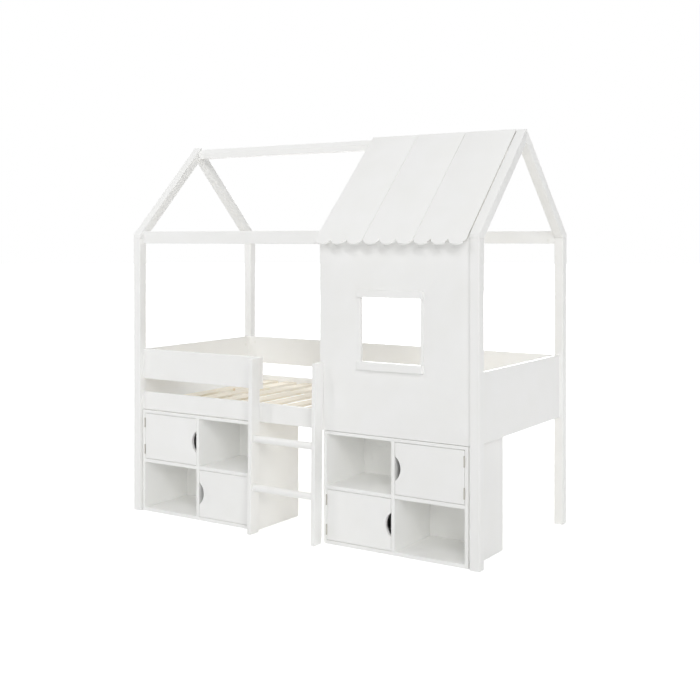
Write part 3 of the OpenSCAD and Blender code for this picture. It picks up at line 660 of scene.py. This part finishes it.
def plated_metal(name, colour, rough, brush):
    """Plated metal: a grey reflection drawn out by fine scratches, brush metres long."""
    material, add, place = new_material(name)
    # Scratches 0.6 mm apart, drawn coarser than real ones so that they show
    stretch = add("Mapping", {"Vector": place, "Scale": (1 / 0.0006, 1 / 0.0006, 1 / brush)})
    scratch = add("TexNoise", {"Vector": stretch, "Scale": 1.0, "Detail": 2.0})
    gloss = add("MapRange", {0: scratch, 1: 0.3, 2: 0.7, 3: rough - 0.07, 4: rough + 0.1})
    tone = add("MapRange", {0: scratch, 1: 0.3, 2: 0.7, 3: 0.93, 4: 1.04})
    shade = add("VectorMath", {0: tuple(colour), "Scale": tone}, operation="SCALE")
    bump = add("Bump", {"Height": scratch, "Strength": 0.08, "Distance": 0.0001})
    shader = add(
        "BsdfPrincipled", {"Base Color": shade, "Metallic": 1.0, "Roughness": gloss, "Normal": bump}
    )
    return finished(material, add, shader)


def moulded_plastic(finish):
    """Moulded ABS: white, with the fine grain of a spark-eroded mould in its sheen."""
    material, add, place = new_material("moulded_abs")
    # Mould grain 1.5 mm
    grain = add("TexNoise", {"Vector": place, "Scale": 1 / 0.0015, "Detail": 2.0})
    gloss = add("MapRange", {0: grain, 1: 0.3, 2: 0.7, 3: 0.38, 4: 0.5})
    bump = add("Bump", {"Height": grain, "Strength": 0.12, "Distance": 0.0001})
    shader = add(
        "BsdfPrincipled",
        {"Base Color": rgba(finish.catch), "Roughness": gloss, "Normal": bump, "IOR": 1.53},
    )
    return finished(material, add, shader)


def shared(name, make):
    """The material of that name, made the first time it is asked for."""
    return bpy.data.materials.get(name) or make()


def painted(name, finish, along=None, tilt=0.0):
    """The paint of that name, with the grain of the wood under it where one is given."""
    return shared(name, lambda: satin_paint(name, finish.paint, finish.paint_thin, along, tilt))


def board_paint(finish):
    """Paint over board, which has no grain."""
    return painted("satin_paint_on_board", finish)


def pine_paint(finish, along):
    """Paint over pine whose grain runs along one axis."""
    return painted("satin_paint_on_pine_" + "xyz"[along], finish, along)


def rafter_paint(finish, tilt):
    """Paint over a rafter, whose grain leans with it."""
    side = "front" if tilt > 0 else "rear"
    return painted("satin_paint_on_rafters_" + side, finish, 1, tilt)


def white_plastic(finish):
    """Plastic of the catches and cover caps."""
    return shared("moulded_abs", lambda: moulded_plastic(finish))


def directly_seen(add):
    """The kind of ray, and 1 where the camera sees a thing directly or in a reflection, or else 0:
    the larger of the two tests."""
    rays = add("LightPath")
    tests = {0: rays.outputs["Is Camera Ray"], 1: rays.outputs["Is Glossy Ray"]}
    return rays, add("Math", tests, operation="MAXIMUM")


def coat(node, material):
    """Gives a CAD node its finish."""
    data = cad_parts[node].data
    data.materials.clear()
    data.materials.append(material)


# ---- Operators ----


class CABINBED_OT_frame(Operator):
    """Posts and rafters with eased edges, and the paint of the rails and end panels"""

    bl_idname = "cabin_bed.house_frame"
    bl_label = "House Frame"

    def execute(self, context):
        sizes, finish = context.scene.cabin_bed_boards, context.scene.cabin_bed_finish
        for node in POSTS:
            low, high = corners(node)
            outline = rectangle(low[:2], high[:2], sizes.post_arris, FINE_STEPS)
            shape = slab(outline, low[2], high[2], sizes.post_end)
            painted_piece(node, shape, pine_paint(finish, 2))
        pitch = context.scene.cabin_bed_roof.pitch
        for node in RAFTERS:
            low, high = corners(node)
            outline, tilt = self.rafter(low, high, pitch)
            outline = rounded_outline(outline, sizes.post_end)
            shape = laid(slab(outline, low[0], high[0], sizes.post_end), (0, 1, 0), (0, 0, 1))
            painted_piece(node, shape, rafter_paint(finish, tilt))
        for node in RAILS:
            coat(node, pine_paint(finish, 0))
        for node in END_PANELS:
            coat(node, board_paint(finish))
        return {"FINISHED"}

    def rafter(self, low, high, pitch):
        """Side outline of a square rafter of width w: level where it stands on the post, plumb at
        the eaves and at the ridge, and two slopes w / cos(pitch) apart, one over the other."""
        run, deep = high[1] - low[1], (high[0] - low[0]) / math.cos(pitch)
        foot = run - (high[2] - deep - low[2]) / math.tan(pitch)
        eaves = high[2] - run * math.tan(pitch)
        away = np.array(
            [(0, low[2]), (foot, low[2]), (run, high[2] - deep), (run, high[2]), (0, eaves)]
        )
        if low[1] + high[1] < cad_box[0][1] + cad_box[1][1]:
            return away + (low[1], 0), pitch
        return (away * (-1, 1) + (high[1], 0))[::-1], -pitch


class CABINBED_OT_base(Operator):
    """Pine slats and the ledgers that carry them"""

    bl_idname = "cabin_bed.slatted_base"
    bl_label = "Slatted Base"

    def execute(self, context):
        finish = context.scene.cabin_bed_finish
        rows = sorted(float(low[0] + high[0]) / 2 for low, high, _ in solids("slats"))
        pitch = (rows[-1] - rows[0]) / (len(rows) - 1)
        coat("slats", planed_pine("planed_pine_slats", finish, 1, pitch))
        coat("slat_ledgers", planed_pine("planed_pine_ledgers", finish, 0, LEDGER_PITCH))
        return {"FINISHED"}


class CABINBED_OT_front_panel(Operator):
    """Front panel with its window, and the lintel, sill and strips round it"""

    bl_idname = "cabin_bed.front_panel"
    bl_label = "Front Panel"

    def execute(self, context):
        sizes, finish = context.scene.cabin_bed_boards, context.scene.cabin_bed_finish
        low, high = corners("front_panel")
        strips = corners("window_jambs")
        left, right = strips[0][0] + sizes.jamb_width, strips[1][0] - sizes.jamb_width
        bottom, top = corners("window_sill")[1][2], corners("window_lintel")[0][2]
        radius = sizes.ease * CORNER_SHARE
        # Laid with u along X and v up, so that the third axis comes out of the front
        outer = rectangle(low[::2], high[::2], radius)
        window = rectangle((left, bottom), (right, top), radius)
        panel = slab(outer, -high[1], -low[1], sizes.ease, window)
        painted_piece("front_panel", laid(panel, (1, 0, 0), (0, 0, 1)), board_paint(finish))
        for node in ("window_lintel", "window_sill"):
            shape = board(*corners(node), sizes.ease * WINDOW_RAIL_EASE)
            painted_piece(node, shape, pine_paint(finish, 0))
        ease = sizes.ease * JAMB_EASE
        pair = [
            board(strips[0], (left, *strips[1][1:]), ease),
            board((right, *strips[0][1:]), strips[1], ease),
        ]
        painted_piece("window_jambs", joined(pair), pine_paint(finish, 2))
        return {"FINISHED"}


class CABINBED_OT_roof(Operator):
    """Three scalloped roof boards on the front slope"""

    bl_idname = "cabin_bed.roof_boards"
    bl_label = "Roof Boards"

    def execute(self, context):
        sizes, roof = context.scene.cabin_bed_boards, context.scene.cabin_bed_roof
        finish = context.scene.cabin_bed_finish
        for node in ROOF_BOARDS:
            low, high = corners(node)
            length = (high[1] - low[1]) / math.cos(roof.pitch)
            outline = self.outline(high[0] - low[0], length, roof, sizes.ease)
            shape = slab(outline, 0, roof.thickness, sizes.ease)
            # The upper end is cut plumb: it moves down the slope as far as it lies under the top
            verts = shape[0]
            verts[:, 1] += np.where(verts[:, 1] < length / 2, verts[:, 2], 0)
            down = (0, -math.cos(roof.pitch), -math.sin(roof.pitch))
            shape = laid(shape, (1, 0, 0), down, (low[0], high[1], high[2]))
            last = painted_piece(node, shape, board_paint(finish))
        # Painted shade on the right board's edge by the rafter, standing in for the shadow in that
        # gap
        self.paint_gap_shade(last.data, finish)
        return {"FINISHED"}

    def paint_gap_shade(self, mesh, finish):
        """Painted shade: the sawn edge in the gap by the rafter gets a darker grey in place of the
        gap's shadow, so the gap is a dark line. It is every face whose normal lies within about 45
        degrees of +X."""
        mesh.materials.append(satin_paint("thin_paint_on_sawn_edge", finish.edge, finish.gap_shade_thin))
        normals = np.empty(len(mesh.polygons) * 3, np.float32)
        mesh.polygons.foreach_get("normal", normals)
        mesh.polygons.foreach_set("material_index", (normals[::3] > 0.7).astype(np.int32))

    def outline(self, width, length, roof, ease):
        """Flat outline of a board, from the ridge down: two square corners at the top, and at the
        foot arcs of radius (c^2 + d^2) / 2d, with c half a scallop's width and d its depth, whose
        angle runs evenly from one cusp to the next."""
        each, depth = width / roof.scallops, roof.scallop_depth
        radius = ((each / 2) ** 2 + depth**2) / (2 * depth)
        half = math.asin(each / 2 / radius)
        angle = np.linspace(half, -half, SCALLOP_STEPS + 1)[:-1]
        middle = (np.arange(roof.scallops)[::-1] + 0.5) * each
        x = middle[:, None] + radius * np.sin(angle)[None]
        y = length - radius + radius * np.cos(angle)[None]
        foot = np.stack([x, np.broadcast_to(y, x.shape)], 2).reshape(-1, 2)
        top = rectangle((0, 0), (width, length), ease * CORNER_SHARE).reshape(4, -1, 2)
        return np.concatenate([top[0], top[1], foot, [(0, length - depth)]])


class CABINBED_OT_ladder(Operator):
    """Two leaning stiles, two turned rungs and the packing block behind the left stile"""

    bl_idname = "cabin_bed.ladder"
    bl_label = "Ladder"

    def execute(self, context):
        sizes, finish = context.scene.cabin_bed_boards, context.scene.cabin_bed_finish
        for node in STILES:
            low, high = corners(node)
            foot_back, top_front = low[1] + sizes.stile_depth, high[1] - sizes.stile_depth
            outline = rounded_outline(
                [(low[1], low[2]), (foot_back, low[2]), (high[1], high[2]), (top_front, high[2])],
                [STILE_CORNER, STILE_CORNER, STILE_CORNER, sizes.stile_round],
                FINE_STEPS,
            )
            stile = slab(outline, low[0], high[0], sizes.ease * STILE_EASE)
            painted_piece(node, laid(stile, (0, 1, 0), (0, 0, 1)), pine_paint(finish, 2))
        for node in RUNGS:
            low, high = corners(node)
            r, length, e = (high[2] - low[2]) / 2, high[0] - low[0], sizes.ease
            t = np.linspace(0, math.pi / 2, 5)
            start = np.stack([r - e + e * np.sin(t), e - e * np.cos(t)], 1)
            end = np.stack([start[::-1, 0], length - start[::-1, 1]], 1)
            profile = np.concatenate([[(0, 0)], start, end, [(0, length)]])
            middle = (low[0], *(low + high)[1:] / 2)
            shape = laid(turned(profile, RUNG_SIDES), (0, 1, 0), (0, 0, 1), middle)
            painted_piece(node, shape, pine_paint(finish, 0))
        shape = board(*corners("ladder_spacer"), sizes.ease)
        painted_piece("ladder_spacer", shape, board_paint(finish))
        return {"FINISHED"}


class CABINBED_OT_units(Operator):
    """Boards of the two cubby units, with their back panels"""

    bl_idname = "cabin_bed.storage_units"
    bl_label = "Storage Units"

    def execute(self, context):
        sizes, finish = context.scene.cabin_bed_boards, context.scene.cabin_bed_finish
        ease = sizes.ease * UNIT_EASE
        paint = board_paint(finish)
        foil = foiled_board(finish)
        for unit in UNITS:
            height = corners(unit + "_top")[1][2] - sizes.unit_seam
            for part in ("left_side", "right_side", "bottom", "top", "divider"):
                node = f"{unit}_{part}"
                low, high = corners(node)
                shape = board(low, (high[0], high[1], min(high[2], height)), ease)
                painted_piece(node, shape, paint)
            node = unit + "_shelves"
            low, high = corners(node)
            wall = corners(unit + "_divider")
            pair = [
                board(low, (wall[0][0], high[1], high[2]), ease),
                board((wall[1][0], low[1], low[2]), high, ease),
            ]
            painted_piece(node, joined(pair), paint)
            node = unit + "_back"
            shape = board(*corners(node), ease)
            piece(node + "_foiled", shape, foil, BED, [node])
        return {"FINISHED"}


class CABINBED_OT_doors(Operator):
    """Four doors with half-moon finger cut-outs, and their magnetic catches"""

    bl_idname = "cabin_bed.doors"
    bl_label = "Doors"

    def execute(self, context):
        sizes, finish = context.scene.cabin_bed_boards, context.scene.cabin_bed_finish
        for node, side in DOORS.items():
            low, high = corners(node)
            leaf = slab(self.outline(low, high, side, sizes), -high[1], -low[1], sizes.ease)
            shape = laid(leaf, (1, 0, 0), (0, 0, 1))
            painted_piece(node, shape, board_paint(finish), node + "_leaf")
        catches = [board(low, high, CATCH_EASE) for low, high, _ in solids("magnetic_catches")]
        piece(
            "magnetic_catches_moulded", joined(catches), white_plastic(finish), BED,
            ["magnetic_catches"],
        )
        return {"FINISHED"}

    def outline(self, low, high, side, sizes):
        """Front outline of a door: a rectangle whose opening edge runs round a circular bite of
        radius (c^2 + d^2) / 2d, with c half its height and d its depth."""
        half, depth = sizes.cutout_height / 2, sizes.cutout_depth
        radius = (half**2 + depth**2) / (2 * depth)
        reach = math.asin(half / radius)
        width, height = high[0] - low[0], high[2] - low[2]
        corner = rectangle((0, 0), (width, height), sizes.ease * CORNER_SHARE).reshape(4, -1, 2)
        angle = np.linspace(-reach, reach, CUTOUT_STEPS + 1)
        bite = np.stack(
            [width + radius - depth - radius * np.cos(angle), height / 2 + radius * np.sin(angle)],
            1,
        )
        points = np.concatenate([corner[0], corner[1], bite, corner[2], corner[3]])
        if side == "left":
            points = np.stack([width - points[:, 0], points[:, 1]], 1)[::-1]
        return points + (low[0], low[2])


class CABINBED_OT_hardware(Operator):
    """Screws with cross heads, cam locks, hinges, bolts and dowels"""

    bl_idname = "cabin_bed.hardware"
    bl_label = "Hardware"

    def execute(self, context):
        finish = context.scene.cabin_bed_finish
        zinc = plated_metal("zinc_plated_steel", finish.zinc, 0.32, 0.002)
        nickel = plated_metal("brushed_nickel_plate", finish.nickel, 0.34, 0.03)
        cast = plated_metal("die_cast_zinc", finish.cam, 0.45, 0.0008)
        for node in HINGES:
            coat(node, nickel)
        coat("cam_bolts", zinc)
        coat("wooden_dowels", turned_beech(finish))
        screws = [self.screw(*s) for s in solids("wood_screws")]
        piece("wood_screws_cross_head", joined(screws), zinc, BED, ["wood_screws"])
        boxes = [(low, high) for low, high, _ in solids("cam_locks")]
        locks = [self.lock(*box) for box in boxes]
        piece("cam_locks_cast", joined(locks), cast, BED, ["cam_locks"])
        caps = [self.cover(*box) for box in boxes]
        piece("cam_covers_moulded", joined(caps), white_plastic(finish), BED, ())
        return {"FINISHED"}

    def placed(self, shape, head, axis):
        """A turned shape with its end at the head's centre and its body along -axis."""
        u = np.cross(np.roll(axis, 1), axis)
        return laid(shape, u, np.cross(axis, u), head)

    def screw(self, low, high, points):
        """A raised countersunk screw: a low dome, a cone, a shank whose radius falls to 0.72 of its
        own and comes back at every second step as a thread, and a point."""
        size, middle = high - low, (low + high) / 2
        run = int(np.argmax(size))
        wide = float(np.sort(size)[1]) / 2
        # The head is at the end where the solid's points reach furthest from its axis
        flat = np.delete(points, run, 1) - np.delete(middle, run)
        at_high = points[:, run] > middle[run]
        reach = np.linalg.norm(flat, axis=1)
        head, axis = face_centre(low, high, run, reach[at_high].max() > reach[~at_high].max())
        length, shank = float(size[run]), wide * 0.5
        dome_height, cone_depth, bare, thread_step = wide * 0.16, wide * 0.55, wide * 0.7, 0.0016
        t = np.linspace(0, math.pi / 2, 7)[1:]
        dome = np.stack([wide * np.sin(t), dome_height * np.cos(t)], 1)
        cone = np.array([(shank * 1.1, -cone_depth)])
        along = np.linspace(-bare, -length + bare, max(8, int(length / thread_step)))
        swing = 0.86 + 0.14 * np.cos(np.arange(len(along)) * math.pi)
        thread = np.stack([shank * swing, along], 1)
        rod = np.concatenate([[(0, -length)], thread[::-1], cone, dome[::-1], [(0, dome_height)]])
        slot = wide * 0.62, wide * 0.34, wide * 0.35
        return self.placed(cross_recess(turned(rod, 16), *slot, dome_height), head, axis)

    def face_of(self, low, high):
        """Centre and direction of the face of a cam lock that looks to the middle of the bed."""
        run = int(np.argmin(high - low))
        inside = np.mean(cad_box, 0)
        inside[0] = 0
        return face_centre(low, high, run, inside[run] > (low + high)[run] / 2)

    def cover(self, low, high):
        """A press-in cap over a cam lock: a thin disc whose top, at radius a, stands at the rim's
        height plus the dome's times cos(pi a / 2r)."""
        overlap, lift, bevel, rim_height, dome_height = 0.0011, 0.0001, 0.0002, 0.0007, 0.0005
        r = float(np.sort(high - low)[1]) / 2 + overlap
        a = np.linspace(1, 0, 9)[:-1]
        top = np.stack([r * a, rim_height + dome_height * np.cos(a * math.pi / 2)], 1)
        foot = [(0, lift), (r - bevel, lift), (r, lift + bevel)]
        rod = np.concatenate([foot, top, [(0, rim_height + dome_height)]])
        return self.placed(turned(rod, 32), *self.face_of(low, high))

    def lock(self, low, high):
        """A cam lock: a disc with a rounded rim, a shallow dish and a cross slot in the face that
        looks into the bed."""
        r, deep = float(np.sort(high - low)[1]) / 2, float(np.min(high - low))
        dish, bevel, slot_depth = 0.0007, 0.0005, 0.0022
        face = [(0.30 * r, -dish), (0.60 * r, -0.0006), (0.78 * r, -0.0004), (0.9 * r, -0.0001)]
        edge = [(0.97 * r, -0.0002), (r, -0.0007), (r, -deep + bevel), (r - bevel, -deep)]
        rod = np.array([(0, -deep)] + edge[::-1] + face[::-1] + [(0.12 * r, -dish), (0, -dish)])
        shape = cross_recess(turned(rod, 24), 0.72 * r, 0.34 * r, slot_depth, -0.0004)
        return self.placed(shape, *self.face_of(low, high))


class CABINBED_OT_stage(Operator):
    """Pale floor, soft studio light and the camera"""

    bl_idname = "cabin_bed.stage"
    bl_label = "Stage"

    def execute(self, context):
        light = context.scene.cabin_bed_light
        self.floor()
        self.surround(light)
        for name, (place, width) in LAMPS.items():
            self.lamp(name + "_lamp", place, width, getattr(light, name))
        camera = bpy.data.objects.new("camera", bpy.data.cameras.new("camera"))
        camera.data.sensor_width = SENSOR
        camera.data.lens = light.lens
        camera.data.shift_y = CAMERA_SHIFT
        camera.data.clip_end = 200
        camera.location = CAMERA_PLACE
        camera.rotation_euler = (math.radians(90 - CAMERA_DROP), 0, math.radians(CAMERA_TURN))
        context.scene.collection.objects.link(camera)
        context.scene.camera = camera
        context.scene.view_settings.view_transform = "Standard"
        context.scene.cycles.diffuse_bounces = DIFFUSE_BOUNCES
        return {"FINISHED"}

    def floor(self):
        """A round floor: radius r and angle a on a grid give (r cos a, r sin a, 0)."""
        angle = np.arange(FLOOR_SIDES) * 2 * math.pi / FLOOR_SIDES
        radius = np.array(FLOOR_RADII)[:, None]
        x, y = radius * np.cos(angle), radius * np.sin(angle)
        verts = np.stack([x, y, np.full(x.shape, -FLOOR_DROP)], 2).reshape(-1, 3)
        faces = ring_faces(len(radius), FLOOR_SIDES)[:, ::-1]
        mesh = bpy.data.meshes.new("floor")
        mesh.from_pydata(verts.tolist(), [], faces.tolist() + [list(range(FLOOR_SIDES))])
        material, add, place = new_material("white_studio_floor")
        # Seamless paper, a little mottled over 400 mm
        mottle = add("TexNoise", {"Vector": place, "Scale": 1 / 0.4})
        tone = add(
            "Mix",
            {0: mottle, 6: rgba(linear("#F0F0F0")), 7: rgba(linear("#F3F3F3"))},
            data_type="RGBA",
        )
        paper = add("BsdfPrincipled", {"Base Color": tone, "Roughness": 0.9})
        _, seen = directly_seen(add)
        # Seen directly, the paper glows to white, and near the bed it keeps a soft shadow
        away = add("VectorMath", {0: place}, operation="LENGTH")
        near, far = GLOW_DISTANCES
        white = add("MapRange", {0: away, 1: near, 2: far, 3: 0.5, 4: 1.0})
        glow = add("Emission", {"Strength": white})
        both = add("AddShader", {0: paper, 1: glow})
        mixed = add("MixShader", {0: seen, 1: paper, 2: both})
        mesh.materials.append(finished(material, add, mixed))
        obj = bpy.data.objects.new("floor", mesh)
        bpy.context.scene.collection.objects.link(obj)

    def surround(self, light):
        """Even light from all round, which the camera and reflections see as white."""
        world = bpy.data.worlds.new("white_surround")
        bpy.context.scene.world = world
        add = emptied(world)
        rays, seen = directly_seen(add)
        also = add("Math", {0: seen, 1: rays.outputs["Is Transmission Ray"]}, operation="MAXIMUM")
        plain = add("Background", {"Strength": light.sky})
        white = add("Background", {"Strength": 1.0})
        for node in (plain, white):
            node.inputs["Color"].default_value = (1, 1, 1, 1)
        mixed = add("MixShader", {0: also, 1: plain, 2: white})
        add("OutputWorld", {"Surface": mixed})

    def lamp(self, name, place, width, power):
        """A square lamp that looks at the middle of the bed."""
        data = bpy.data.lights.new(name, "AREA")
        data.size = width
        data.energy = power
        obj = bpy.data.objects.new(name, data)
        obj.location = place
        target = Vector(LAMP_AIM) - Vector(place)
        obj.rotation_euler = target.to_track_quat("-Z", "Y").to_euler()
        bpy.context.scene.collection.objects.link(obj)


class CABINBED_PT_panel(Panel):
    """Lists the sizes, colours and steps of the cabin bed"""

    bl_idname = "CABINBED_PT_panel"
    bl_label = "Cabin Bed"
    bl_space_type = "VIEW_3D"
    bl_region_type = "UI"
    bl_category = "Cabin Bed"

    def draw(self, context):
        layout = self.layout
        for group in PROPERTY_NAMES:
            column = layout.column(align=True)
            settings = getattr(context.scene, group)
            for name in settings.bl_rna.properties.keys():
                if name not in ("rna_type", "name"):
                    column.prop(settings, name)
        for operator in OPERATORS:
            layout.operator(operator.bl_idname)


PROPERTY_GROUPS = (CabinBedBoards, CabinBedRoof, CabinBedFinish, CabinBedLight)
PROPERTY_NAMES = ("cabin_bed_boards", "cabin_bed_roof", "cabin_bed_finish", "cabin_bed_light")
OPERATORS = (
    CABINBED_OT_frame,
    CABINBED_OT_base,
    CABINBED_OT_front_panel,
    CABINBED_OT_roof,
    CABINBED_OT_ladder,
    CABINBED_OT_units,
    CABINBED_OT_doors,
    CABINBED_OT_hardware,
    CABINBED_OT_stage,
)


def register():
    for item in PROPERTY_GROUPS + OPERATORS + (CABINBED_PT_panel,):
        bpy.utils.register_class(item)
    for name, group in zip(PROPERTY_NAMES, PROPERTY_GROUPS):
        setattr(bpy.types.Scene, name, PointerProperty(type=group))


def unregister():
    for name in PROPERTY_NAMES:
        delattr(bpy.types.Scene, name)
    for item in reversed(PROPERTY_GROUPS + OPERATORS + (CABINBED_PT_panel,)):
        bpy.utils.unregister_class(item)


def main():
    """Runs each step in order."""
    register()
    bpy.ops.cabin_bed.house_frame()
    bpy.ops.cabin_bed.slatted_base()
    bpy.ops.cabin_bed.front_panel()
    bpy.ops.cabin_bed.roof_boards()
    bpy.ops.cabin_bed.ladder()
    bpy.ops.cabin_bed.storage_units()
    bpy.ops.cabin_bed.doors()
    bpy.ops.cabin_bed.hardware()
    bpy.ops.cabin_bed.stage()
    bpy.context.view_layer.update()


if __name__ == "__main__":
    main()
